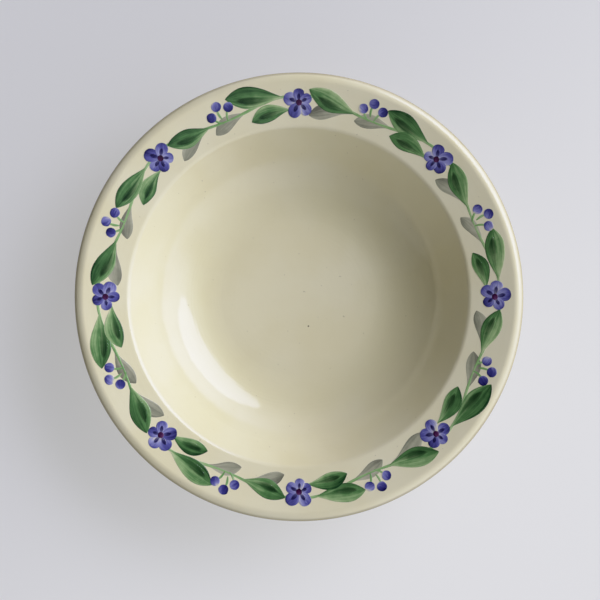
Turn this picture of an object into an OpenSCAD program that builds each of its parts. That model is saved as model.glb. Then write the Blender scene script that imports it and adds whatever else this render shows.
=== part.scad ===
// Rimmed soup bowl: a stoneware body under a glaze coat, with a brush-painted vine border on its rim.
// Millimetres, +Z up. The origin is the middle of the circle that the foot ring stands on.

/* [Bowl] */
// Diameter over the lip, glaze included
bowl_d = 230; // [215:1:250]
// Height to the top of the lip, glaze included
bowl_h = 49; // [46:1:54]
// Run of the sloping rim, from the middle of the lip to the bend of the clay
rim_run = 23; // [20:0.5:26]
// Rise of the rim towards the lip, in degrees
rim_rise = 13; // [10:1:16]
// Slope of the well's wall, in degrees from level
wall_slope = 54; // [50:1:58]
// Radius of the curve from floor to wall, at the middle of the clay
corner_r = 50; // [44:1:54]
// Radius of the bend from wall to rim, on the glaze inside the bowl
bend_in_r = 4.2; // [3.5:0.1:7]
// Radius of the bend from wall to rim, on the glaze outside the bowl
bend_out_r = 6; // [4:0.5:9]
// Thickness of the clay
clay_t = 5; // [4:0.25:6]

/* [Foot] */
// Diameter of the foot ring where it stands
foot_d = 104; // [98:1:110]
// Width of the foot ring where it stands
foot_w = 5; // [4:0.5:7]
// Depth of the recess inside the foot ring
foot_h = 5; // [4:0.5:7]
// How far each side of the foot ring leans out on its way up
foot_lean = 1; // [0.5:0.25:1.5]
// Chamfer on the edges that meet the table
foot_chamfer = 0.8; // [0.5:0.1:1.2]

/* [Glaze] */
// Thickness of the glaze
glaze_t = 0.4; // [0.3:0.05:0.6]

/* [Painted border] */
// Thickness of the fired colour
paint_t = 0.15; // [0.1:0.05:0.25]
// Bare margin at either edge of the rim
margin = 0.8; // [0.5:0.1:1.5]
// How many waves the vine makes round the rim
waves = 8; // [7:1:9]
// How far the vine swings to either side of the middle of the rim
vine_swing = 3; // [2:0.2:4]
// Width of the vine
vine_w = 1.5; // [1.2:0.1:2.2]
// Length of a berry's stalk
stalk_l = 7; // [6:0.5:9]
// Width of a berry's stalk
stalk_w = 1.2; // [0.9:0.1:1.6]
// Length of a green leaf
leaf_l = 27; // [22:0.5:29]
// Width of a green leaf
leaf_w = 10.6; // [8:0.2:11]
// Length of the dark stroke on a leaf
shade_l = 17.5; // [13:0.5:19]
// Width of the dark stroke on a leaf
shade_w = 4.4; // [3:0.1:5]
// Length of a grey leaf
grey_l = 22; // [18:0.5:24]
// Width of a grey leaf
grey_w = 7.5; // [6:0.5:8]
// Length of a petal
petal_l = 7.6; // [6.6:0.2:8.4]
// Width of a petal
petal_w = 6.2; // [5.6:0.2:7]
// Length of the dark streak on a petal
streak_l = 5.2; // [4:0.2:6]
// Width of the dark streak on a petal
streak_w = 2.2; // [1.4:0.1:2.6]
// Diameter of a flower's eye
eye_d = 3.2; // [2.6:0.1:4]
// Diameter of a berry
berry_d = 5; // [4.4:0.1:5.4]

/* [Hidden] */
$fn = 96;
// Straight steps in each curve of the profile, and along each side of a brush stroke
arc_steps = 12;
stroke_steps = 9;
vine_steps = 20;
petals_each = 5;
// Play that the cutting tools have past the surfaces they cut
overshoot = 1;

// The clay follows one middle line: floor, corner, wall, bend, rim and lip.
half_t = clay_t / 2;
coat = half_t + glaze_t;
floor_z = foot_h + half_t;
lip = [bowl_d / 2 - coat, bowl_h - coat];
rim_way = [1, tan(rim_rise)];
rim_normal = [-sin(rim_rise), cos(rim_rise)];
wall_normal = [-sin(wall_slope), cos(wall_slope)];
bend = lip - rim_run * rim_way;
wall_foot_z = floor_z + corner_r * (1 - cos(wall_slope));
wall_foot_r = bend.x - (bend.y - wall_foot_z) / tan(wall_slope);
corner = [wall_foot_r - corner_r * sin(wall_slope), floor_z + corner_r];

// Centres of the bend's two rounds lie on the line that halves the corner between wall and rim.
mitre = (wall_normal + rim_normal) / (1 + wall_normal * rim_normal);
bend_in = bend + (coat - bend_in_r) * mitre;
bend_out = bend - (coat + bend_out_r) * mitre;

// Radii of the foot ring, at the table and where it meets the body
foot_out = foot_d / 2;
foot_in = foot_out - foot_w;
neck_out = foot_out + foot_lean;
neck_in = foot_in - foot_lean;

// The painted band lies on the glazed rim, between two bare margins.
band_in = bend_in + bend_in_r * rim_normal + margin * rim_way;
band_out = lip + coat * rim_normal - margin * rim_way;
band_mid_r = (band_in.x + band_out.x) / 2;
wave_l = 2 * PI * band_mid_r / waves;

// Brush marks of one wave of the vine. Each is [share of the wave, start off the vine, heading, size, bow]:
// the share runs round the rim, the heading is in degrees from that way, and the bow bends the stroke.
leaf_marks = [[0.1, 0, 7, 1, -0.8], [0.05, -7, -7, 0.84, 1.2], [0.61, 0, 15, 0.95, -1.4]];
shade_marks = [[0.169, 0.8, 6, 1, -1.3], [0.107, -6.6, -8, 0.84, -0.1], [0.672, -0.9, 14, 0.95, -1.2]];
grey_marks = [[0.34, -0.4, -13, 0.96, 1], [0.64, -1, -13, 1, 1.2]];
// Berries are [share of the wave, distance off the middle of the rim, heading of the stalk].
berry_marks = [[0.455, 3.4, 112], [0.525, 5.7, 86], [0.58, 1.6, 48]];
flower_off = -0.4;
// How far the painter's hand turns a stroke from wave to wave, in degrees, and changes its size, as a share
hand_turn = 4;
hand_size = 0.06;

// Points of an arc, from angle a to angle b
function arc(centre, r, a, b) = [
    for (i = [0 : arc_steps])
        let (angle = a + (b - a) * i / arc_steps) centre + r * [cos(angle), sin(angle)]
];

function reversed(points) = [for (i = [len(points) - 1 : -1 : 0]) points[i]];

// The inside from floor to rim, this far inside the middle line
function inside(inset) = concat(
    arc(corner, corner_r - inset, -90, wall_slope - 90),
    arc(bend_in, bend_in_r - coat + inset, wall_slope + 90, rim_rise + 90)
);

// The outside from the foot ring's neck to the rim, this far outside the middle line
function outside(outset) = concat(
    arc(corner, corner_r + outset, neck_angle(outset), wall_slope - 90),
    arc(bend_out, bend_out_r + coat - outset, wall_slope + 90, rim_rise + 90)
);

// The round of the lip, from the inside to the outside
function lip_round(r) = arc(lip, r, rim_rise + 90, rim_rise - 90);

// Angle of the corner at which a face this far outside the middle line meets the foot ring
function neck_angle(outset) = asin((neck_out - corner.x) / (corner_r + outset)) - 90;

module clay_body() color("tan") rotate_extrude() polygon(concat(
    [[0, foot_h], [0, floor_z + half_t]],
    inside(half_t),
    lip_round(half_t),
    reversed(outside(half_t)),
    [
        [foot_out + foot_chamfer * foot_lean / foot_h, foot_chamfer],
        [foot_out - foot_chamfer, 0],
        [foot_in + foot_chamfer, 0],
        [foot_in - foot_chamfer * foot_lean / foot_h, foot_chamfer],
        [neck_in, foot_h]
    ]
));

module glaze_coat() color("ivory") rotate_extrude() polygon(concat(
    [[0, floor_z + half_t], [0, floor_z + coat]],
    inside(coat),
    lip_round(coat),
    reversed(outside(coat)),
    outside(half_t),
    reversed(lip_round(half_t)),
    reversed(inside(half_t))
));

module base_glaze() color("ivory")
    translate([0, 0, foot_h - glaze_t])
    cylinder(h = glaze_t, r1 = neck_in + glaze_t * foot_lean / foot_h, r2 = neck_in);

// A point of the painted band, s along the middle of the rim and t outwards from it
function on_band(p) = let (r = band_mid_r + p.y, a = p.x / band_mid_r * 180 / PI) r * [cos(a), sin(a)];

function vine_off(s) = vine_swing * cos(360 * s / wave_l);

// The painter's hand, from -1 to 1, for one stroke of one wave
function hand(wave, stroke) = sin(137 * wave + 71 * stroke);

// Half widths along a stroke: a leaf has a tapering tail and a pointed tip, a drop swells from a thin tail
// to a blunt tip, and a petal is round at its tip
leaf_form = function (u) pow(sin(180 * pow(u, 1.4)), 0.85);
drop_form = function (u) pow(sin(180 * pow(u, 1.7)), 0.8);
petal_form = function (u) sqrt(1 - pow(2 * pow(u, 1.4) - 1, 2));

// Outline of a brush stroke
function stroke(start, heading, length, width, bow, form) = let (
    along = [cos(heading), sin(heading)],
    across = [-sin(heading), cos(heading)],
    spine = [for (i = [0 : stroke_steps]) (1 - cos(180 * i / stroke_steps)) / 2],
    side = function (sign, u)
        on_band(start + length * u * along + (bow * 4 * u * (1 - u) + sign * width / 2 * form(u)) * across)
) concat(
    [for (i = [0 : stroke_steps]) side(1, spine[i])],
    [for (i = [stroke_steps - 1 : -1 : 1]) side(-1, spine[i])]
);

module brush_marks(marks, length, width, form, first)
    for (wave = [0 : waves - 1], k = [0 : len(marks) - 1]) {
        mark = marks[k];
        start = [(wave + mark[0]) * wave_l, vine_off(mark[0] * wave_l) + mark[1]];
        turn = mark[2] + hand_turn * hand(wave, first + k);
        grown = mark[3] * (1 + hand_size * hand(wave, first + k + 20));
        polygon(stroke(start, turn, length * grown, width * grown, mark[4], form));
    }

// The eye of the flower of one wave
function flower(wave) = [wave * wave_l, flower_off + 0.6 * hand(wave, 6)];

// Strokes that start at the eye of each flower
module flower_marks(length, width, form)
    for (wave = [0 : waves - 1], k = [0 : petals_each - 1]) {
        turn = 360 / petals_each * k + 20 * hand(wave, 7) + 2 * hand_turn * hand(wave + 3 * k, 8);
        grown = 1 + 2 * hand_size * hand(wave + 2 * k, 12);
        polygon(stroke(flower(wave), turn, length * grown, width * grown, 0, form));
    }

module leaf_shapes() brush_marks(leaf_marks, leaf_l, leaf_w, leaf_form, 3);
module shade_shapes() brush_marks(shade_marks, shade_l, shade_w, leaf_form, 3);
module grey_shapes() brush_marks(grey_marks, grey_l, grey_w, drop_form, 9);
module petal_shapes() flower_marks(petal_l, petal_w, petal_form);
module streak_shapes() flower_marks(streak_l, streak_w, leaf_form);

module eye_shapes()
    for (wave = [0 : waves - 1])
        translate(on_band(flower(wave))) circle(d = eye_d);

module berry_shapes()
    for (wave = [0 : waves - 1], mark = berry_marks)
        translate(on_band([(wave + mark[0]) * wave_l, mark[1]])) circle(d = berry_d);

module vine_shapes() {
    steps = vine_steps * waves;
    edge = function (off) [
        for (i = [0 : steps - 1])
            let (s = i * wave_l / vine_steps) on_band([s, vine_off(s) + off])
    ];
    difference() {
        polygon(edge(vine_w / 2));
        polygon(edge(-vine_w / 2));
    }
    for (wave = [0 : waves - 1], mark = berry_marks) {
        heading = mark[2] + 180;
        polygon(stroke([(wave + mark[0]) * wave_l, mark[1]], heading, stalk_l, stalk_w, 0.6, petal_form));
    }
}

// The film of fired colour that a flat drawing leaves on the sloping rim
module painted() intersection() {
    rotate_extrude() polygon([
        band_in, band_out, band_out + paint_t * rim_normal, band_in + paint_t * rim_normal
    ]);
    translate([0, 0, band_in.y - overshoot])
        linear_extrude(band_out.y - band_in.y + paint_t + 2 * overshoot)
        children();
}

module flower_eyes() color("#4a1442") painted() eye_shapes();

module petal_streaks() color("#2b2887") painted() difference() {
    streak_shapes();
    eye_shapes();
}

module petals() color("#7a76bd") painted() difference() {
    petal_shapes();
    streak_shapes();
    eye_shapes();
}

module berries() color("#5c58b0") painted() difference() {
    berry_shapes();
    petal_shapes();
}

module leaf_shading() color("#12421f") painted() difference() {
    shade_shapes();
    petal_shapes();
    berry_shapes();
}

module leaves() color("#4f8a4b") painted() difference() {
    leaf_shapes();
    shade_shapes();
    petal_shapes();
    berry_shapes();
}

module vine() color("#86ab68") painted() difference() {
    vine_shapes();
    leaf_shapes();
    shade_shapes();
    petal_shapes();
    berry_shapes();
}

module grey_leaves() color("#a3a194") painted() difference() {
    grey_shapes();
    vine_shapes();
    leaf_shapes();
    shade_shapes();
    petal_shapes();
    berry_shapes();
}

clay_body();
glaze_coat();
base_glaze();
vine();
leaves();
leaf_shading();
grey_leaves();
petals();
petal_streaks();
flower_eyes();
berries();
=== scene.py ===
"""Looks of a rimmed soup bowl: cream-glazed stoneware with a vine brushed round its rim.

Sizes are in metres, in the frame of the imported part: +Z up, with the foot ring standing on z = 0. Those
of the painted border are in millimetres, and become metres where its strokes are laid on the rim.
"""

import logging
import math
from collections.abc import Callable, Iterator
from dataclasses import dataclass
from enum import Enum

import bmesh
import bpy
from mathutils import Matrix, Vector, noise


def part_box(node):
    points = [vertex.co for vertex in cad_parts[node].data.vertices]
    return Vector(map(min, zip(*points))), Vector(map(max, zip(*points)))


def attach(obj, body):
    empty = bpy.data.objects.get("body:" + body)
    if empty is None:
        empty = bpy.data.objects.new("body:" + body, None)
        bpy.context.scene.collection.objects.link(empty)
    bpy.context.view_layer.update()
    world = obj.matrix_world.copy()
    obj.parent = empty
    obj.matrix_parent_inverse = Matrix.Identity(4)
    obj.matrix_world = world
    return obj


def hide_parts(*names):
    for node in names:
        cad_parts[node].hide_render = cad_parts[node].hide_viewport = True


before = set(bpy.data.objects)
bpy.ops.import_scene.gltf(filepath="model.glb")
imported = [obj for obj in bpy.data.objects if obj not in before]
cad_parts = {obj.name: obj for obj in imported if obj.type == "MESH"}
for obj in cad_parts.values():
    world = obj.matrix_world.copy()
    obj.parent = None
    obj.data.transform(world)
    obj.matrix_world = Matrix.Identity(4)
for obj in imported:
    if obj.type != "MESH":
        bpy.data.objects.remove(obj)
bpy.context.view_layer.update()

LOG = logging.getLogger("soup_bowl")
MM = 0.001
MERGE = 0.001 * MM
BODY = "root"

Colour = tuple[float, float, float, float]
Value = "Socket | float | Colour | tuple[float, float, float]"
Size = tuple[float, float]
Marks = tuple[tuple[float, ...], ...]


def srgb(code: str) -> Colour:
    """Turn a colour as it is seen into the linear light that a shader takes.

    Args:
        code: Six hexadecimal digits, as in "e3ddc6".

    Returns:
        Linear red, green, blue and an alpha of 1.
    """
    shown = [int(code[i:i + 2], 16) / 255 for i in (0, 2, 4)]
    linear = [c / 12.92 if c <= 0.04045 else ((c + 0.055) / 1.055) ** 2.4 for c in shown]
    return (linear[0], linear[1], linear[2], 1.0)


class Socket:
    """A number in a material's node tree. Arithmetic on it adds Math nodes."""

    def __init__(self, shader: "Shader", link: bpy.types.NodeSocket) -> None:
        """Wrap one output socket of a shader's node."""
        self.shader = shader
        self.link = link

    def math(self, operation: str, *others: Value) -> "Socket":
        """Apply a Math node's operation to this number and others."""
        return self.shader.node("ShaderNodeMath", {"operation": operation}, dict(enumerate((self, *others))))

    def __add__(self, other: Value) -> "Socket":
        """Add a number."""
        return self.math("ADD", other)

    def __radd__(self, other: Value) -> "Socket":
        """Add to a number."""
        return self.math("ADD", other)

    def __sub__(self, other: Value) -> "Socket":
        """Take a number away."""
        return self.math("SUBTRACT", other)

    def __rsub__(self, other: Value) -> "Socket":
        """Take this from a number."""
        return (self * -1.0) + other

    def __mul__(self, other: Value) -> "Socket":
        """Multiply by a number."""
        return self.math("MULTIPLY", other)

    def __rmul__(self, other: Value) -> "Socket":
        """Multiply a number."""
        return self.math("MULTIPLY", other)

    def __pow__(self, other: Value) -> "Socket":
        """Raise to a power."""
        return self.math("POWER", other)

    def __abs__(self) -> "Socket":
        """Drop the sign."""
        return self.math("ABSOLUTE")

    def rise(self, low: float, high: float) -> "Socket":
        """Go smoothly from 0 at low to 1 at high."""
        settings = {"interpolation_type": "SMOOTHSTEP"}
        values = {"Value": self, "From Min": low, "From Max": high}
        return self.shader.node("ShaderNodeMapRange", settings, values)

    def peak(self, centre: float, width: float) -> "Socket":
        """Be 1 at centre, and fall smoothly to 0 a width away on either side."""
        return 1.0 - abs(self - centre).rise(0.0, width)


class Shader:
    """A material or a world under construction."""

    def __init__(self, owner: bpy.types.Material | bpy.types.World) -> None:
        """Start with an empty node tree."""
        owner.use_nodes = True
        self.owner = owner
        self.tree = owner.node_tree
        self.tree.nodes.clear()

    def node(
        self,
        kind: str,
        settings: dict[str, object] | None = None,
        values: dict[str | int, Value] | None = None,
        output: str | int | None = 0,
    ) -> Socket | None:
        """Add a node.

        Args:
            kind: The node's type.
            settings: Its own settings, set first. The entry "stops" gives a ramp's places and colours.
            values: Numbers, colours or links for its input sockets.
            output: The output that is wanted, or None on a node that has none.

        Returns:
            That output.
        """
        made = self.tree.nodes.new(kind)
        for name, setting in (settings or {}).items():
            if name == "stops":
                self.set_stops(made.color_ramp, setting)
            else:
                setattr(made, name, setting)
        for name, value in (values or {}).items():
            if isinstance(value, Socket):
                self.tree.links.new(value.link, made.inputs[name])
            else:
                made.inputs[name].default_value = value
        return None if output is None else Socket(self, made.outputs[output])

    @staticmethod
    def set_stops(ramp: bpy.types.ColorRamp, stops: list[tuple[float, Colour]]) -> None:
        """Give a colour ramp its stops, in rising order."""
        while len(ramp.elements) < len(stops):
            ramp.elements.new(1.0)
        for element, (place, colour) in zip(ramp.elements, stops):
            element.position = place
            element.color = colour

    def mix(self, share: Value, under: Value, over: Value, blend: str = "MIX") -> Socket:
        """Lay one colour over another, or blend them in another way, by a share from 0 to 1."""
        factor, first, second, result = 0, 6, 7, 2
        settings = {"data_type": "RGBA", "blend_type": blend}
        return self.node("ShaderNodeMix", settings, {factor: share, first: under, second: over}, result)

    def place(self) -> Socket:
        """Give the point's place in the part's frame, in metres."""
        return self.node("ShaderNodeTexCoord", output="Object")

    def axes(self, vector: Socket) -> tuple[Socket, Socket, Socket]:
        """Split a vector into its three numbers."""
        split = self.node("ShaderNodeSeparateXYZ", values={0: vector}).link.node
        x, y, z = (Socket(self, output) for output in split.outputs)
        return x, y, z

    def vector(self, x: Value, y: Value, z: Value) -> Socket:
        """Join three numbers into a vector."""
        return self.node("ShaderNodeCombineXYZ", values={0: x, 1: y, 2: z})

    def cloud(self, where: Socket, scale: float, detail: float = 2.0, roughness: float = 0.5) -> Socket:
        """Give smooth noise about 0.5, with this many blobs to a unit of where."""
        values = {"Vector": where, "Scale": scale, "Detail": detail, "Roughness": roughness}
        return self.node("ShaderNodeTexNoise", values=values)

    def bump(self, height: Socket, depth: float) -> Socket:
        """Raise the surface by a height from 0 to 1, times a depth in metres."""
        return self.node("ShaderNodeBump", values={"Strength": 1.0, "Distance": depth, "Height": height})

    def finish(self, **values: Value) -> bpy.types.Material:
        """Close the material with a Principled shader.

        Args:
            **values: Its inputs, with underscores for spaces and in lower case.

        Returns:
            The finished material.
        """
        inputs = {}
        for name, value in values.items():
            inputs[name.replace("_", " ").title().replace("Ior", "IOR")] = value
        surface = self.node("ShaderNodeBsdfPrincipled", values=inputs)
        self.node("ShaderNodeOutputMaterial", values={"Surface": surface}, output=None)
        return self.owner


@dataclass(frozen=True)
class GlazeFinish:
    """The glossy cream glaze, a little deeper where it pools and thinner over the lip.

    Scales are in blobs to a metre. The pool lies outside the corner's centre. Outside the lip's centre the
    glaze is thinner and darker, and that darkening is partly painted shade on the lip's edge; the flecks
    take the same dark colour. A share says how far its colour covers the cream.
    """

    name: str = "cream_glaze"
    cream: str = "e2dab4"
    warm: str = "dfd6ac"
    pooled: str = "d5cc9c"
    # Thinner glaze over the lip, partly painted shade on its edge; the flecks take this colour too.
    thin: str = "968a64"
    speck: str = "4a3a26"
    speck_place: Size = (5.0 * MM, -15.6 * MM)
    speck_radius: float = 0.55 * MM
    mottle_scale: float = 26.0
    fleck_scale: float = 620.0
    ring_scale: float = 420.0
    skin_scale: float = 90.0
    skin_depth: float = 0.12 * MM
    pool_out: float = 16.0 * MM
    pool_width: float = 24.0 * MM
    pool_top: Size = (12.0 * MM, 24.0 * MM)
    thin_shade_out: Size = (1.0 * MM, 2.7 * MM)
    pool_share: float = 0.35
    thin_shade_share: float = 0.5
    thin_shade_vary: float = 0.4
    fleck_share: float = 0.4
    ring_share: float = 0.35
    gloss: float = 0.055
    gloss_vary: float = 0.04

    def material(self, form: "BowlForm") -> bpy.types.Material:
        """Make the material.

        Args:
            form: The bowl's sizes, which say where its edges and corners are.

        Returns:
            The finished material.
        """
        shader = Shader(bpy.data.materials.new(self.name))
        place = shader.place()
        x, y, z = shader.axes(place)
        radius = (x * x + y * y) ** 0.5
        mottle = shader.cloud(place, self.mottle_scale, 3.0)
        colour = shader.mix(mottle.rise(0.35, 0.7), srgb(self.cream), srgb(self.warm))
        pool = radius.peak(form.corner.x + self.pool_out, self.pool_width) * (1.0 - z.rise(*self.pool_top))
        colour = shader.mix(pool * self.pool_share, colour, srgb(self.pooled))
        # Darker over the lip: thinner glaze, and partly painted shade on the lip's edge.
        lip = (radius - form.lip.x).rise(*self.thin_shade_out)
        thinned_and_shaded = lip * (self.thin_shade_share + self.thin_shade_vary * mottle)
        colour = shader.mix(thinned_and_shaded, colour, srgb(self.thin))
        flecks = shader.cloud(place, self.fleck_scale, 1.0).rise(0.77, 0.81)
        colour = shader.mix(flecks * self.fleck_share, colour, srgb(self.thin))
        across = x - self.speck_place[0]
        along = y - self.speck_place[1]
        from_speck = (across * across + along * along) ** 0.5
        spot = 1.0 - from_speck.rise(self.speck_radius * 0.4, self.speck_radius)
        on_floor = z.rise(form.floor_z, form.floor_height(form.clay))
        colour = shader.mix(spot * on_floor, colour, srgb(self.speck))
        rings = shader.cloud(shader.vector(radius, z, 0.0), self.ring_scale)
        skin = shader.cloud(place, self.skin_scale)
        return shader.finish(
            base_color=colour,
            roughness=self.gloss + self.gloss_vary * mottle,
            specular_ior_level=0.5,
            normal=shader.bump(self.ring_share * rings + skin, self.skin_depth),
        )


@dataclass(frozen=True)
class ClayFinish:
    """Bare stoneware: buff, matt and gritty. Scales are in blobs to a metre."""

    name: str = "stoneware"
    buff: str = "c9b48e"
    toasted: str = "a98a62"
    grit: str = "6b543b"
    toast_scale: float = 55.0
    grain_scale: float = 1500.0
    grog_scale: float = 900.0
    grain_depth: float = 0.15 * MM
    grit_share: float = 0.6
    grit_rise: float = 0.5
    matt: float = 0.78
    matt_vary: float = 0.16

    def material(self) -> bpy.types.Material:
        """Make the material."""
        shader = Shader(bpy.data.materials.new(self.name))
        place = shader.place()
        toast = shader.cloud(place, self.toast_scale, 4.0)
        grain = shader.cloud(place, self.grain_scale, 3.0, 0.7)
        grog = shader.cloud(place, self.grog_scale, 1.0).rise(0.66, 0.72)
        colour = shader.mix(toast.rise(0.4, 0.68), srgb(self.buff), srgb(self.toasted))
        colour = shader.mix(grog * self.grit_share, colour, srgb(self.grit))
        return shader.finish(
            base_color=colour,
            roughness=self.matt + self.matt_vary * grain,
            normal=shader.bump(grain + self.grit_rise * grog, self.grain_depth),
        )


@dataclass(frozen=True)
class WashFinish:
    """A ceramic colour that a brush left on the glaze: thin where the brush ran dry, deep where it pooled.

    The load of colour goes from 0, bare glaze, to 1. It starts from base, and changes along the stroke,
    across it, with the brush's hairs, in blots and at the edge. A soft wash melts into the colour under it
    over a share of its width. Scales are in blobs to a metre, and that of the hairs to a stroke.
    """

    name: str
    pale: str
    full: str
    deep: str
    base: float = 0.55
    along: float = 0.45
    across: float = 0.35
    hairs: float = 0.22
    blots: float = 0.12
    edge: float = 0.12
    vary: float = 0.2
    cover: float = 1.0
    soft: float = 0.0
    bare: str = "dfd7b0"
    hair_scale: Size = (1.4, 8.0)
    seed_spread: Size = (37.0, 11.0)
    blot_scale: float = 210.0
    skin_scale: float = 90.0
    skin_depth: float = 0.12 * MM
    gloss: float = 0.09
    gloss_vary: float = 0.06

    def material(self) -> bpy.types.Material:
        """Make the material."""
        shader = Shader(bpy.data.materials.new(self.name))
        place = shader.place()
        u, v, _ = shader.axes(shader.node("ShaderNodeUVMap", {"uv_map": Stroke.UV_MAP}))
        seed = shader.node("ShaderNodeAttribute", {"attribute_name": Stroke.SEED}, output="Fac")
        grain = shader.vector(
            u * self.hair_scale[0] + seed * self.seed_spread[0],
            v * self.hair_scale[1],
            seed * self.seed_spread[1],
        )
        hairs = shader.cloud(grain, 1.0, 4.0, 0.65).rise(0.3, 0.7)
        blots = shader.cloud(place, self.blot_scale, 3.0).rise(0.3, 0.7)
        side = abs(v - 0.5) * 2.0
        rim = side.rise(0.78, 0.97) * (0.35 + 0.65 * u) + u.rise(0.9, 0.99)
        leaning = seed.rise(0.35, 0.65) * 2.0 - 1.0
        load = self.base + self.along * (u - 0.5) + self.across * (v - 0.5) * leaning
        load = load + self.hairs * (hairs - 0.5) + self.blots * (blots - 0.5) + self.edge * rim
        load = load + self.vary * (seed - 0.5)
        loads = {0.0: self.bare, 0.28: self.pale, 0.6: self.full, 1.0: self.deep}
        stops = [(share, srgb(code)) for share, code in loads.items()]
        colour = shader.node("ShaderNodeValToRGB", {"stops": stops}, {"Fac": load})
        cover = {}
        if self.soft:
            melt = 1.0 - side.rise(1.0 - self.soft, 1.0)
            melt = melt * u.rise(0.0, self.soft) * (1.0 - u.rise(0.7, 1.0))
            cover["alpha"] = self.cover * melt * (0.7 + 0.3 * hairs)
        return shader.finish(
            base_color=colour,
            roughness=self.gloss + self.gloss_vary * blots,
            specular_ior_level=0.5,
            normal=shader.bump(shader.cloud(place, self.skin_scale), self.skin_depth),
            **cover,
        )


@dataclass(frozen=True)
class FloorFinish:
    """A pale studio floor with a little light of its own.

    Its glow is painted light, brighter towards the front and right over its reach, with a painted shadow
    under the bowl, between two radii.
    """

    name: str = "studio_floor"
    colour: str = "8b8986"
    dim: str = "dcdcdd"
    bright: str = "fcfcfc"
    shaded: str = "303030"
    glow_strength: float = 0.49
    reach: float = 0.3
    shade: Size = (0.055, 0.125)
    grain_scale: float = 30.0
    matt: float = 0.55
    matt_vary: float = 0.1

    def material(self) -> bpy.types.Material:
        """Make the material."""
        shader = Shader(bpy.data.materials.new(self.name))
        place = shader.place()
        x, y, _ = shader.axes(place)
        grain = shader.cloud(place, self.grain_scale, 3.0)
        # Painted light: the glow grows towards the front and right.
        glow = shader.mix((x - y).rise(-self.reach, self.reach), srgb(self.dim), srgb(self.bright))
        radius = (x * x + y * y) ** 0.5
        # Painted shadow: the glow fades under the bowl.
        glow = shader.mix(radius.rise(*self.shade), srgb(self.shaded), glow)
        return shader.finish(
            base_color=srgb(self.colour),
            roughness=self.matt + self.matt_vary * grain,
            emission_color=glow,
            emission_strength=self.glow_strength,
        )


class Section:
    """A pen that draws half of a turned shape in the XZ plane, and turns it about Z."""

    def __init__(self, start: Vector) -> None:
        """Set the pen down at a point, given as radius and height."""
        self.mesh = bmesh.new()
        self.tip = self.mesh.verts.new((start.x, 0.0, start.y))

    def line(self, end: Vector, steps: int = 1) -> None:
        """Draw a straight stretch to a point, in a number of steps."""
        begin = self.tip.co.copy()
        for step in range(1, steps + 1):
            self.tip = bmesh.ops.extrude_vert_indiv(self.mesh, verts=[self.tip])["verts"][0]
            self.tip.co = begin.lerp(Vector((end.x, 0.0, end.y)), step / steps)

    def arc(self, centre: Vector, degrees: float, steps: int) -> None:
        """Draw an arc round a centre. Positive degrees turn from the radius towards the height."""
        made = bmesh.ops.spin(
            self.mesh,
            geom=[self.tip],
            cent=(centre.x, 0.0, centre.y),
            axis=(0.0, -1.0, 0.0),
            angle=math.radians(degrees),
            steps=steps,
        )
        self.tip = next(part for part in made["geom_last"] if isinstance(part, bmesh.types.BMVert))

    def turned(self, steps: int) -> bmesh.types.BMesh:
        """Turn the drawing about Z into a closed shape.

        Args:
            steps: How many faces go round.

        Returns:
            The mesh, with its faces pointing outwards.
        """
        mesh = self.mesh
        bmesh.ops.remove_doubles(mesh, verts=mesh.verts, dist=MERGE)
        bmesh.ops.spin(
            mesh,
            geom=[*mesh.verts, *mesh.edges],
            cent=(0.0, 0.0, 0.0),
            axis=(0.0, 0.0, 1.0),
            angle=2.0 * math.pi,
            steps=steps,
            use_merge=True,
        )
        bmesh.ops.remove_doubles(mesh, verts=mesh.verts, dist=MERGE)
        bmesh.ops.recalc_face_normals(mesh, faces=mesh.faces)
        mesh.normal_update()
        return mesh


def polar(degrees: float, length: float = 1.0) -> Vector:
    """Give the point at an angle and a distance from the origin of a plane."""
    angle = math.radians(degrees)
    return Vector((length * math.cos(angle), length * math.sin(angle)))


def toward(azimuth: float, elevation: float) -> Vector:
    """Give the way to a place in the room, from its azimuth and elevation in degrees."""
    flat = polar(azimuth, math.cos(math.radians(elevation)))
    return Vector((flat.x, flat.y, math.sin(math.radians(elevation))))


def add_piece(
    name: str, mesh: bmesh.types.BMesh, material: bpy.types.Material, node: str, slot: str
) -> None:
    """Make an object of a mesh, in the place of a node of the frame.

    Args:
        name: Name of the piece.
        mesh: Its mesh, in the part's frame. It is freed.
        material: Its finish.
        node: The node that it stands for.
        slot: The name of a material slot; not used.
    """
    data = bpy.data.meshes.new(name)
    mesh.to_mesh(data)
    mesh.free()
    data.shade_smooth()
    data.materials.append(material)
    piece = bpy.data.objects.new(name, data)
    bpy.context.scene.collection.objects.link(piece)
    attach(piece, BODY)
    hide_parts(node)
    LOG.info("%s stands for %s with %d faces", name, node, len(data.polygons))


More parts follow.
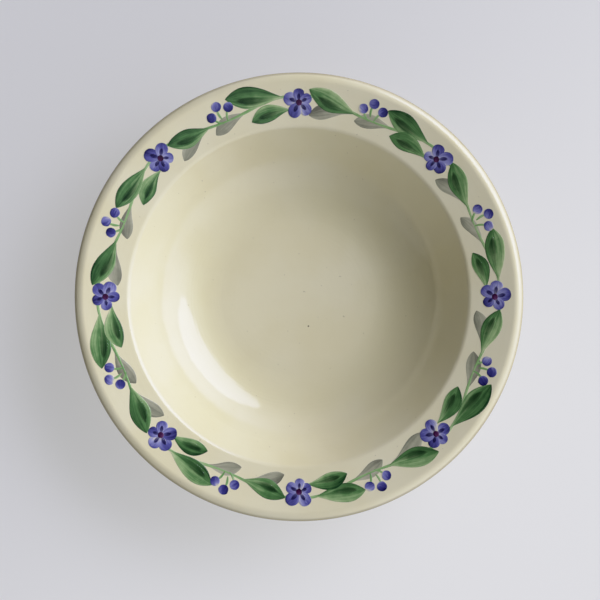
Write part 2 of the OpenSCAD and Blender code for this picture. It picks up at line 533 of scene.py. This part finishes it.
@dataclass
class BowlForm:
    """The bowl's sizes, and the middle line that its clay follows: floor, corner, wall, bend, rim and lip.

    Lengths are in metres, and slopes and turns in degrees. The diameter and the height come from the frame.
    The thrower's hand leaves a slow wave and faint rings, with their scales in blobs to a metre.
    """

    rim_run: float = 23.0 * MM
    rim_rise: float = 13.0
    wall_slope: float = 54.0
    corner_r: float = 50.0 * MM
    bend_in_r: float = 4.2 * MM
    bend_out_r: float = 6.0 * MM
    clay_t: float = 5.0 * MM
    glaze_t: float = 0.4 * MM
    foot_r: float = 52.0 * MM
    foot_w: float = 5.0 * MM
    foot_h: float = 5.0 * MM
    foot_lean: float = 1.0 * MM
    foot_round: float = 0.8 * MM
    margin: float = 0.8 * MM
    roll_r: float = 5.3 * MM
    roll_turn: float = 50.0
    wave_scale: float = 26.0
    wave_squeeze: float = 1.4
    wave_depth: float = 0.05 * MM
    ring_scale: float = 60.0
    ring_pitch: float = 2.6 * MM
    ring_depth: float = 0.02 * MM

    def __post_init__(self) -> None:
        """Work the middle line out from the frame's own box of the glaze."""
        _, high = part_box("glaze_coat")
        self.clay = self.clay_t / 2
        self.coat = self.clay + self.glaze_t
        self.lip = Vector((high.x - self.coat, high.z - self.coat))
        self.floor_z = self.foot_h + self.clay
        self.rim_normal = polar(self.rim_rise + 90)
        self.rim_way = Vector((1.0, math.tan(math.radians(self.rim_rise))))
        wall_normal = polar(self.wall_slope + 90)
        mitre = (wall_normal + self.rim_normal) / (1 + wall_normal.dot(self.rim_normal))
        bend = self.lip - self.rim_run * self.rim_way
        self.bend_in = bend + (self.coat - self.bend_in_r) * mitre
        self.bend_out = bend - (self.coat + self.bend_out_r) * mitre
        slope = math.radians(self.wall_slope)
        wall_foot_z = self.floor_z + self.corner_r * (1 - math.cos(slope))
        wall_foot_r = bend.x - (bend.y - wall_foot_z) / math.tan(slope)
        self.corner = Vector((wall_foot_r - self.corner_r * math.sin(slope), self.floor_z + self.corner_r))
        self.neck_out = self.foot_r + self.foot_lean
        self.neck_in = self.foot_r - self.foot_w - self.foot_lean
        self.band_in = self.bend_in + self.bend_in_r * self.rim_normal + self.margin * self.rim_way
        self.band_out = self.lip + self.coat * self.rim_normal - self.margin * self.rim_way
        turn = math.cos(math.radians(self.roll_turn))
        self.tip_r = (2 * self.coat - self.roll_r * (1 - turn)) / (1 + turn)
        to_tip = (self.roll_r - self.tip_r) * polar(self.rim_rise + 90 - self.roll_turn)
        roll = self.lip + (self.coat - self.roll_r) * self.rim_normal
        reach = (roll + to_tip).x + self.tip_r - self.lip.x - self.coat
        self.roll = roll - reach * self.rim_way
        self.tip = self.roll + to_tip

    def neck_angle(self, outset: float) -> float:
        """Give the corner's angle where a face this far outside the middle line meets the foot ring."""
        sine = (self.neck_out - self.corner.x) / (self.corner_r + outset)
        return math.degrees(math.asin(sine)) - 90

    def floor_height(self, inset: float) -> float:
        """Give the height of the floor's face, this far inside the middle line."""
        return self.floor_z + inset

    def draw_inside(self, pen: Section, inset: float, fine: int) -> None:
        """Draw the inside from the middle of the floor to the lip.

        Args:
            pen: The pen, at the middle of the floor.
            inset: How far the face lies inside the middle line.
            fine: How finely to step, from 1 up.
        """
        bend_r = self.bend_in_r - self.coat + inset
        pen.line(Vector((self.corner.x, self.floor_height(inset))), 5 * fine)
        pen.arc(self.corner, self.wall_slope, 12 * fine)
        pen.line(self.bend_in + polar(self.wall_slope + 90, bend_r), 3 * fine)
        pen.arc(self.bend_in, self.rim_rise - self.wall_slope, 3 * fine)
        pen.line(self.roll + (self.roll_r - self.coat + inset) * self.rim_normal, 6 * fine)

    def draw_lip(self, pen: Section, inset: float, fine: int) -> None:
        """Draw the lip from the top of the rim to its underside: a wide roll and a small tip.

        Args:
            pen: The pen, where the inside ends.
            inset: How far the face lies off the middle line.
            fine: How finely to step, from 1 up.
        """
        pen.arc(self.roll, -self.roll_turn, 5 * fine)
        pen.arc(self.tip, self.roll_turn - 180, 4 * fine)
        pen.line(self.tip - (self.tip_r - self.coat + inset) * self.rim_normal)

    def draw_outside(self, pen: Section, outset: float, fine: int) -> None:
        """Draw the outside from the lip down to the foot ring's neck.

        Args:
            pen: The pen, at the lip's underside.
            outset: How far the face lies outside the middle line.
            fine: How finely to step, from 1 up.
        """
        neck = self.neck_angle(outset)
        bend_r = self.bend_out_r + self.coat - outset
        pen.line(self.bend_out + bend_r * self.rim_normal, 5 * fine)
        pen.arc(self.bend_out, self.wall_slope - self.rim_rise, 3 * fine)
        pen.line(self.corner + polar(self.wall_slope - 90, self.corner_r + outset), 2 * fine)
        pen.arc(self.corner, neck - (self.wall_slope - 90), 8 * fine)

    def draw_back(self, pen: Section, depth: float, fine: int) -> None:
        """Draw the hidden side of a coat, from the foot ring's neck over the lip to the middle of the floor.

        Args:
            pen: The pen, at the neck.
            depth: How far the coat's hidden side lies off the middle line.
            fine: How finely to step, from 1 up.
        """
        neck = self.neck_angle(depth)
        out_r = self.bend_out_r + self.coat - depth
        in_r = self.bend_in_r - self.coat + depth
        pen.line(self.corner + polar(neck, self.corner_r + depth))
        pen.arc(self.corner, self.wall_slope - 90 - neck, 8 * fine)
        pen.line(self.bend_out + polar(self.wall_slope + 90, out_r))
        pen.arc(self.bend_out, self.rim_rise - self.wall_slope, 3 * fine)
        pen.line(self.tip - (self.tip_r - self.coat + depth) * self.rim_normal)
        pen.arc(self.tip, 180 - self.roll_turn, 4 * fine)
        pen.arc(self.roll, self.roll_turn, 4 * fine)
        pen.line(self.bend_in + in_r * self.rim_normal)
        pen.arc(self.bend_in, self.wall_slope - self.rim_rise, 3 * fine)
        pen.line(self.corner + polar(self.wall_slope - 90, self.corner_r - depth))
        pen.arc(self.corner, -self.wall_slope, 8 * fine)
        pen.line(Vector((0.0, self.floor_height(depth))))

    def hand(self, place: Vector) -> float:
        """Give how far the thrower's hand left the surface off the true form at a place, in metres."""
        radius = math.hypot(place.x, place.y)
        wave = noise.noise(Vector((place.x, place.y, self.wave_squeeze * place.z)) * self.wave_scale)
        press = noise.noise(Vector((radius, 0.0, place.z)) * self.ring_scale)
        rings = math.sin(radius / self.ring_pitch) * press
        return self.wave_depth * wave + self.ring_depth * rings

    def on_rim(self, along: float, across: float, lift: float) -> Vector:
        """Give a point of the painted band.

        Args:
            along: Distance round the rim, along the middle of the band.
            across: Distance outwards from the middle of the band.
            lift: Height over the glaze.

        Returns:
            The point, in the part's frame.
        """
        middle = (self.band_in + self.band_out) / 2
        turn = along / middle.x
        flat = middle + across * self.rim_way
        past_roll = max(0.0, flat.x - self.roll.x - self.roll_r * self.rim_normal.x)
        lift -= past_roll ** 2 / (2 * self.roll_r)
        base = Vector((flat.x * math.cos(turn), flat.x * math.sin(turn), flat.y))
        normal = Vector(
            (self.rim_normal.x * math.cos(turn), self.rim_normal.x * math.sin(turn), self.rim_normal.y)
        )
        return base + (lift + self.hand(base)) * normal


@dataclass
class Bowl:
    """The stoneware body with its two glazes. The steps say how finely each is turned."""

    form: BowlForm
    glaze: GlazeFinish
    clay: ClayFinish
    round_steps: int = 256
    shell_fine: int = 3
    core_fine: int = 1
    creep: float = 1.2 * MM
    creep_hollow: float = 0.3 * MM

    def build(self) -> None:
        """Build the three pieces."""
        glaze = self.glaze.material(self.form)
        add_piece("stoneware_body", self.clay_mesh(), self.clay.material(), "clay_body", "stoneware")
        add_piece("glaze_skin", self.glaze_mesh(), glaze, "glaze_coat", "cream_glaze")
        add_piece("base_glaze_disc", self.base_mesh(), glaze, "base_glaze", "cream_glaze")

    def clay_mesh(self) -> bmesh.types.BMesh:
        """Turn the clay, with rounded edges on the foot ring."""
        form = self.form
        inside = Vector((0.0, form.floor_height(form.clay)))
        pen = Section(inside)
        form.draw_inside(pen, form.clay, self.core_fine)
        form.draw_lip(pen, form.clay, self.core_fine)
        form.draw_outside(pen, form.clay, self.core_fine)
        foot_in = form.foot_r - form.foot_w
        edge = form.foot_round
        pen.line(Vector((form.foot_r, edge)), 2)
        pen.arc(Vector((form.foot_r - edge, edge)), -90.0, 4)
        pen.line(Vector((foot_in + edge, 0.0)), 2)
        pen.arc(Vector((foot_in + edge, edge)), -90.0, 4)
        pen.line(Vector((form.neck_in, form.foot_h)), 2)
        pen.line(Vector((0.0, form.foot_h)))
        pen.line(inside)
        return pen.turned(self.round_steps)

    def glaze_mesh(self) -> bmesh.types.BMesh:
        """Turn the glaze, and let it follow the thrower's hand."""
        form = self.form
        over = Vector((0.0, form.floor_height(form.coat)))
        pen = Section(over)
        form.draw_inside(pen, form.coat, self.shell_fine)
        form.draw_lip(pen, form.coat, self.shell_fine)
        form.draw_outside(pen, form.coat, self.shell_fine)
        form.draw_back(pen, form.clay, self.core_fine)
        pen.line(over)
        mesh = pen.turned(self.round_steps)
        for vert in mesh.verts:
            vert.co += form.hand(vert.co) * vert.normal
        return mesh

    def base_mesh(self) -> bmesh.types.BMesh:
        """Turn the glaze of the recess, which creeps a little up the foot ring."""
        form = self.form
        creep = self.creep
        hollow = self.creep_hollow
        face = form.foot_h - form.glaze_t
        pen = Section(Vector((0.0, form.foot_h)))
        pen.line(Vector((form.neck_in, form.foot_h)))
        pen.line(Vector((form.neck_in + creep * form.foot_lean / form.foot_h, form.foot_h - creep)))
        pen.line(Vector((form.neck_in - hollow, face - hollow)))
        pen.line(Vector((form.neck_in - creep, face)))
        pen.line(Vector((0.0, face)), 16)
        pen.line(Vector((0.0, form.foot_h)))
        mesh = pen.turned(self.round_steps // 2)
        for vert in mesh.verts:
            if vert.co.z < face + 10 * MERGE:
                vert.co.z += form.hand(vert.co)
        return mesh


class StrokeForm(Enum):
    """How a brush stroke swells along its length."""

    LEAF = "a tapering tail and a pointed tip"
    DROP = "a thin tail and a blunt tip"
    PETAL = "round at its tip"
    DAB = "a round spot"
    LINE = "an even line"

    def half_width(self, u: float) -> float:
        """Give the half width at a share u of the length, from 0 to 1."""
        if self is StrokeForm.LEAF:
            return max(0.0, math.sin(math.pi * u ** 1.4)) ** 0.85
        if self is StrokeForm.DROP:
            return max(0.0, math.sin(math.pi * u ** 1.7)) ** 0.8
        if self is StrokeForm.PETAL:
            return math.sqrt(max(0.0, 1 - (2 * u ** 1.4 - 1) ** 2))
        if self is StrokeForm.DAB:
            return math.sqrt(max(0.0, 1 - (2 * u - 1) ** 2))
        return 0.8 + 0.2 * math.sin(7.0 * math.pi * u)


@dataclass
class Stroke:
    """One touch of the brush on the rim, with its sizes in millimetres."""

    start: tuple[float, float]
    heading: float
    length: float
    width: float
    form: StrokeForm
    bow: float = 0.0
    spine: Callable[[float], tuple[float, float]] | None = None

    UV_MAP = "stroke"
    SEED = "stroke_seed"
    SHAKE = 0.1
    SHAKE_WAVES = (2.6, 0.4, 50.0)
    SUNK = 0.03 * MM
    EDGE = 0.999

    def at(self, u: float, v: float, seed: float) -> tuple[float, float]:
        """Give a place of the stroke on the band.

        Args:
            u: Share of the length, from 0 to 1.
            v: Share of the half width, from -1 to 1.
            seed: A number from 0 to 1 that sets this stroke apart.

        Returns:
            Distance round the rim and outwards, in millimetres.
        """
        waves = self.SHAKE_WAVES
        shake = 1 + self.SHAKE * noise.noise(Vector((waves[0] * u, waves[1] * v, waves[2] * seed)))
        spread = v * self.width / 2 * self.form.half_width(u) * shake
        if self.spine is not None:
            along, across = self.spine(u)
            return along, across + spread
        way = polar(self.heading)
        side = Vector((-way.y, way.x))
        spot = Vector(self.start) + self.length * u * way + (self.bow * 4 * u * (1 - u) + spread) * side
        return spot.x, spot.y

    def lay(
        self, mesh: bmesh.types.BMesh, bowl: BowlForm, lift: float, seed: float, grid: tuple[int, int]
    ) -> None:
        """Add the stroke's film to a mesh.

        Args:
            mesh: The mesh that holds all strokes of one colour.
            bowl: The form whose rim it lies on.
            lift: Height of the film over the glaze, in metres.
            seed: A number from 0 to 1 that sets this stroke apart.
            grid: Steps along the stroke and across it.
        """
        made = bmesh.ops.create_grid(mesh, x_segments=grid[0], y_segments=grid[1], size=1.0, calc_uvs=True)
        seeds = mesh.verts.layers.float[self.SEED]
        for vert in made["verts"]:
            u = (1 - math.cos(math.pi * (vert.co.x + 1) / 2)) / 2
            v = math.sin(math.pi / 2 * vert.co.y)
            along, across = self.at(u, v, seed)
            at_edge = abs(v) > self.EDGE or (u in (0.0, 1.0) and self.spine is None)
            vert.co = bowl.on_rim(along * MM, across * MM, -self.SUNK if at_edge else lift)
            vert[seeds] = seed


@dataclass
class Border:
    """The vine brushed round the rim, with its leaves, flowers and berries.

    Sizes are in millimetres, as length and width, and turns in degrees. The marks of one wave of the vine
    give each stroke's share of the wave, start off the vine, heading, size and bow. A berry's give its share
    of the wave, its distance off the middle of the rim and the heading of its stalk. The films' steps and
    thickness are in metres.
    """

    bowl: BowlForm
    waves: int = 8
    petals: int = 5
    vine_swing: float = 3.0
    vine_w: float = 1.5
    stalk: Size = (7.0, 1.2)
    stalk_bow: float = 0.6
    leaf: Size = (27.0, 10.6)
    shade: Size = (17.5, 4.4)
    grey: Size = (22.0, 7.5)
    petal: Size = (7.6, 6.2)
    streak: Size = (5.2, 2.2)
    eye_d: float = 3.2
    berry_d: float = 5.0
    dab_turn: float = 40.0
    flower_off: float = -0.4
    flower_shake: float = 0.6
    flower_turn: float = 20.0
    hand_turn: float = 4.0
    hand_size: float = 0.06
    leaf_marks: Marks = ((0.1, 0, 7, 1, -0.8), (0.05, -7, -7, 0.84, 1.2), (0.61, 0, 15, 0.95, -1.4))
    shade_marks: Marks = (
        (0.169, 0.8, 6, 1, -1.3),
        (0.107, -6.6, -8, 0.84, -0.1),
        (0.672, -0.9, 14, 0.95, -1.2),
    )
    grey_marks: Marks = ((0.34, -0.4, -13, 0.96, 1), (0.64, -1, -13, 1, 1.2))
    berry_marks: Marks = ((0.455, 3.4, 112), (0.525, 5.7, 86), (0.58, 1.6, 48))
    film_step: float = 0.02 * MM
    overlap_step: float = 0.003 * MM
    overlap_levels: int = 5
    film_t: float = 0.1 * MM
    seed_step: float = 0.618

    def __post_init__(self) -> None:
        """Work out the length of one wave of the vine."""
        middle = (self.bowl.band_in.x + self.bowl.band_out.x) / 2
        self.wave_l = 2 * math.pi * middle / MM / self.waves

    @staticmethod
    def hand(wave: int, stroke: int) -> float:
        """Give the painter's hand, from -1 to 1, for one stroke of one wave."""
        return math.sin(math.radians(137 * wave + 71 * stroke))

    def vine_off(self, along: float) -> float:
        """Give how far the vine lies outside the middle of the band."""
        return self.vine_swing * math.cos(2 * math.pi * along / self.wave_l)

    def marks(self, marks: Marks, size: Size, form: StrokeForm, first: int) -> Iterator[Stroke]:
        """Give the strokes that start on the vine.

        Args:
            marks: Share of the wave, start off the vine, heading, size and bow of each stroke of one wave.
            size: Length and width of a stroke of size 1.
            form: The strokes' form.
            first: Number of the first stroke, for the painter's hand.

        Yields:
            Each stroke, wave by wave.
        """
        for wave in range(self.waves):
            for k, (share, off, heading, scale, bow) in enumerate(marks):
                start = ((wave + share) * self.wave_l, self.vine_off(share * self.wave_l) + off)
                turn = heading + self.hand_turn * self.hand(wave, first + k)
                grown = scale * (1 + self.hand_size * self.hand(wave, first + k + 20))
                yield Stroke(start, turn, size[0] * grown, size[1] * grown, form, bow)

    def flower(self, wave: int) -> tuple[float, float]:
        """Give the place of a flower's eye."""
        return wave * self.wave_l, self.flower_off + self.flower_shake * self.hand(wave, 6)

    def flower_strokes(self, size: Size, form: StrokeForm) -> Iterator[Stroke]:
        """Give the strokes that start at the eye of each flower."""
        for wave in range(self.waves):
            for k in range(self.petals):
                turn = 360 / self.petals * k + self.flower_turn * self.hand(wave, 7)
                turn += 2 * self.hand_turn * self.hand(wave + 3 * k, 8)
                grown = 1 + 2 * self.hand_size * self.hand(wave + 2 * k, 12)
                yield Stroke(self.flower(wave), turn, size[0] * grown, size[1] * grown, form)

    def dabs(self, places: Iterator[tuple[float, float]], size: float) -> Iterator[Stroke]:
        """Give round spots of one size at places on the band."""
        for n, (along, across) in enumerate(places):
            way = polar(self.dab_turn * n)
            start = (along - way.x * size / 2, across - way.y * size / 2)
            yield Stroke(start, self.dab_turn * n, size, size, StrokeForm.DAB)

    def berry_places(self) -> Iterator[tuple[float, float]]:
        """Give the middles of the berries."""
        for wave in range(self.waves):
            for share, across, _ in self.berry_marks:
                yield (wave + share) * self.wave_l, across

    def vine_strokes(self) -> Iterator[Stroke]:
        """Give the vine, one stroke to a wave, and the berries' stalks."""
        for wave in range(self.waves):
            def spine(u: float, first: float = wave * self.wave_l) -> tuple[float, float]:
                """Follow the vine over one wave."""
                return first + u * self.wave_l, self.vine_off(u * self.wave_l)
            yield Stroke((0.0, 0.0), 0.0, self.wave_l, self.vine_w, StrokeForm.LINE, spine=spine)
            for share, across, heading in self.berry_marks:
                start = ((wave + share) * self.wave_l, across)
                yield Stroke(start, heading + 180, *self.stalk, StrokeForm.PETAL, self.stalk_bow)

    def paint(
        self,
        name: str,
        strokes: Iterator[Stroke],
        layer: int,
        wash: WashFinish,
        node: str,
        grid: tuple[int, int],
    ) -> None:
        """Lay all strokes of one colour as one piece.

        Args:
            name: Name of the piece.
            strokes: The strokes.
            layer: How many layers of colour lie under it.
            wash: The colour.
            node: The node that it stands for.
            grid: Steps along each stroke and across it.
        """
        mesh = bmesh.new()
        mesh.loops.layers.uv.new(Stroke.UV_MAP)
        mesh.verts.layers.float.new(Stroke.SEED)
        lift = self.film_step * (layer + 2)
        for n, stroke in enumerate(strokes):
            level = lift + self.overlap_step * (n % self.overlap_levels)
            stroke.lay(mesh, self.bowl, level, (self.seed_step * n) % 1.0, grid)
        bmesh.ops.remove_doubles(mesh, verts=mesh.verts, dist=2 * MERGE)
        bmesh.ops.recalc_face_normals(mesh, faces=mesh.faces)
        bmesh.ops.solidify(mesh, geom=mesh.faces[:], thickness=self.film_t)
        bmesh.ops.recalc_face_normals(mesh, faces=mesh.faces)
        add_piece(name, mesh, wash.material(), node, wash.name)

    def build(self) -> None:
        """Paint the border, from the colours underneath to those on top."""
        grey = WashFinish("grey", "bab698", "949378", "535244", along=0.35, across=0.5, edge=0.2)
        stem = WashFinish("vine_green", "a9c087", "7fa763", "4a7d3c", hairs=0.35)
        green = WashFinish("leaf_green", "9cb67a", "547e46", "143a19", base=0.58, across=0.6, hairs=0.3)
        dark = WashFinish("dark_green", "29582a", "113617", "041f08", base=0.6, cover=0.75, soft=0.85)
        violet = WashFinish("violet", "9897bc", "555390", "17124a", base=0.48, along=0.7, edge=0.2, vary=0.4)
        blue = WashFinish("deep_blue", "3a3174", "201656", "100734", base=0.65, cover=0.9, soft=0.7)
        plum = WashFinish("plum", "6e4068", "3c1038", "1c0418", base=0.62)
        berry = WashFinish("berry_blue", "8483b2", "3e3c7c", "130f48", along=0.6, across=0.5, vary=0.4)
        self.paint("grey_strokes", self.marks(self.grey_marks, self.grey, StrokeForm.DROP, 9), 0, grey,
                   "grey_leaves", (22, 12))
        self.paint("vine_strokes", self.vine_strokes(), 1, stem, "vine", (40, 6))
        self.paint("leaf_strokes", self.marks(self.leaf_marks, self.leaf, StrokeForm.LEAF, 3), 2, green,
                   "leaves", (26, 14))
        self.paint("shade_strokes", self.marks(self.shade_marks, self.shade, StrokeForm.LEAF, 3), 3, dark,
                   "leaf_shading", (20, 8))
        self.paint("berry_dabs", self.dabs(self.berry_places(), self.berry_d), 3, berry, "berries", (16, 12))
        self.paint("petal_strokes", self.flower_strokes(self.petal, StrokeForm.PETAL), 4, violet,
                   "petals", (16, 12))
        self.paint("streak_strokes", self.flower_strokes(self.streak, StrokeForm.LEAF), 5, blue,
                   "petal_streaks", (14, 6))
        eyes = (self.flower(wave) for wave in range(self.waves))
        self.paint("eye_dabs", self.dabs(eyes, self.eye_d), 6, plum, "flower_eyes", (14, 10))


@dataclass(frozen=True)
class Lamp:
    """A large soft light that looks at the bowl, in degrees, metres and watts."""

    name: str
    azimuth: float
    elevation: float
    distance: float
    size: Size
    power: float
    colour: tuple[float, float, float]

    def hang(self) -> None:
        """Hang the lamp up."""
        data = bpy.data.lights.new(self.name, "AREA")
        data.shape = "ELLIPSE"
        data.size, data.size_y = self.size
        data.energy = self.power
        data.color = self.colour
        lamp = bpy.data.objects.new(self.name, data)
        way = toward(self.azimuth, self.elevation)
        lamp.location = self.distance * way
        lamp.rotation_euler = way.to_track_quat("Z", "Y").to_euler()
        bpy.context.scene.collection.objects.link(lamp)


@dataclass(frozen=True)
class Glow:
    """Light from a whole side of the room, brightest in the middle and gone at its spread, in degrees."""

    azimuth: float
    elevation: float
    spread: float
    colour: tuple[float, float, float]


@dataclass
class Studio:
    """Camera, lights and floor. The camera looks down the bowl's axis, as the photograph does.

    The frame's width, the bowl's width and its centre are in pixels of the photograph.
    """

    form: BowlForm
    photo_width: int = 600
    bowl_width: float = 449.0
    bowl_centre: Size = (299.0, 296.8)
    lens: float = 100.0
    sensor: float = 36.0
    floor_size: float = 60.0
    floor_gap: float = 0.05 * MM
    lamps: tuple[Lamp, ...] = (
        Lamp("key", 35.0, 41.0, 4.8, (4.8, 2.3), 84.0, (0.97, 1.0, 1.31)),
        Lamp("key_core", 35.0, 41.0, 4.8, (3.2, 1.2), 21.0, (0.97, 1.0, 1.31)),
        Lamp("table", -92.0, 25.0, 2.7, (15.0, 2.55), 27.0, (1.0, 1.0, 1.0)),
    )
    glows: tuple[Glow, ...] = (
        Glow(24.0, 8.0, 60.0, (1.0, 0.96, 1.55)),
        Glow(25.0, 32.0, 42.0, (1.25, 1.36, 1.2)),
        Glow(68.0, 12.0, 45.0, (0.5, 0.5, 0.6)),
        Glow(-100.0, 28.0, 60.0, (0.26, 0.25, 0.22)),
        Glow(-50.0, 28.0, 60.0, (0.37, 0.41, 0.62)),
        Glow(0.0, 90.0, 180.0, (0.02, 0.02, 0.02)),
    )
    tones: tuple[Size, ...] = ((0.0, 0.0), (0.4, 0.4), (0.85, 0.85), (1.15, 0.96), (1.6, 1.0))

    def build(self) -> None:
        """Build everything round the bowl."""
        self.add_camera()
        for lamp in self.lamps:
            lamp.hang()
        self.add_world()
        self.add_floor()
        view = bpy.context.scene.view_settings
        view.view_transform = "Standard"
        view.look = "None"
        self.set_tones(view)

    def set_tones(self, view: bpy.types.ColorManagedViewSettings) -> None:
        """Roll the brightest tones off, as film does.

        Args:
            view: The scene's view settings.
        """
        view.use_curve_mapping = True
        mapping = view.curve_mapping
        mapping.clip_max_x = self.tones[-1][0]
        combined = 3
        tones = mapping.curves[combined]
        while len(tones.points) < len(self.tones):
            tones.points.new(0.5, 0.5)
        for point, place in zip(tones.points, self.tones):
            point.location = place
            point.handle_type = "AUTO"
        mapping.update()

    def add_camera(self) -> None:
        """Put the camera where the bowl is as wide and as central as in the photograph."""
        lip_r = self.form.lip.x + self.form.coat
        width = 2 * lip_r * self.photo_width / self.bowl_width
        data = bpy.data.cameras.new("photo_camera")
        data.lens = self.lens
        data.sensor_width = self.sensor
        camera = bpy.data.objects.new("photo_camera", data)
        pixel = width / self.photo_width
        left = (self.photo_width / 2 - self.bowl_centre[0]) * pixel
        up = (self.bowl_centre[1] - self.photo_width / 2) * pixel
        camera.location = (left, up, self.form.lip.y + width * self.lens / self.sensor)
        bpy.context.scene.collection.objects.link(camera)
        bpy.context.scene.camera = camera

    def add_world(self) -> None:
        """Fill the room with the soft glows, added up over every direction."""
        world = bpy.data.worlds.new("studio")
        shader = Shader(world)
        way = shader.node("ShaderNodeTexCoord", output="Generated")
        light = (0.0, 0.0, 0.0, 1.0)
        for glow in self.glows:
            values = {0: way, 1: toward(glow.azimuth, glow.elevation)}
            side = shader.node("ShaderNodeVectorMath", {"operation": "DOT_PRODUCT"}, values, "Value")
            share = side.rise(math.cos(math.radians(glow.spread)), 1.0)
            light = shader.mix(share, light, (*glow.colour, 1.0), "ADD")
        air = shader.node("ShaderNodeBackground", values={"Color": light})
        shader.node("ShaderNodeOutputWorld", values={"Surface": air}, output=None)
        bpy.context.scene.world = world

    def add_floor(self) -> None:
        """Lay the floor that the foot ring stands on."""
        mesh = bmesh.new()
        bmesh.ops.create_grid(mesh, x_segments=1, y_segments=1, size=self.floor_size / 2)
        bmesh.ops.translate(mesh, verts=mesh.verts, vec=(0.0, 0.0, -self.floor_gap))
        data = bpy.data.meshes.new("studio_floor")
        mesh.to_mesh(data)
        mesh.free()
        data.materials.append(FloorFinish().material())
        floor = bpy.data.objects.new("studio_floor", data)
        bpy.context.scene.collection.objects.link(floor)


def main() -> None:
    """Build the bowl, its border and the studio."""
    logging.basicConfig(level=logging.INFO, format="%(name)s: %(message)s")
    form = BowlForm()
    Studio(form).build()
    Bowl(form, GlazeFinish(), ClayFinish()).build()
    Border(form).build()


if __name__ == "__main__":
    main()
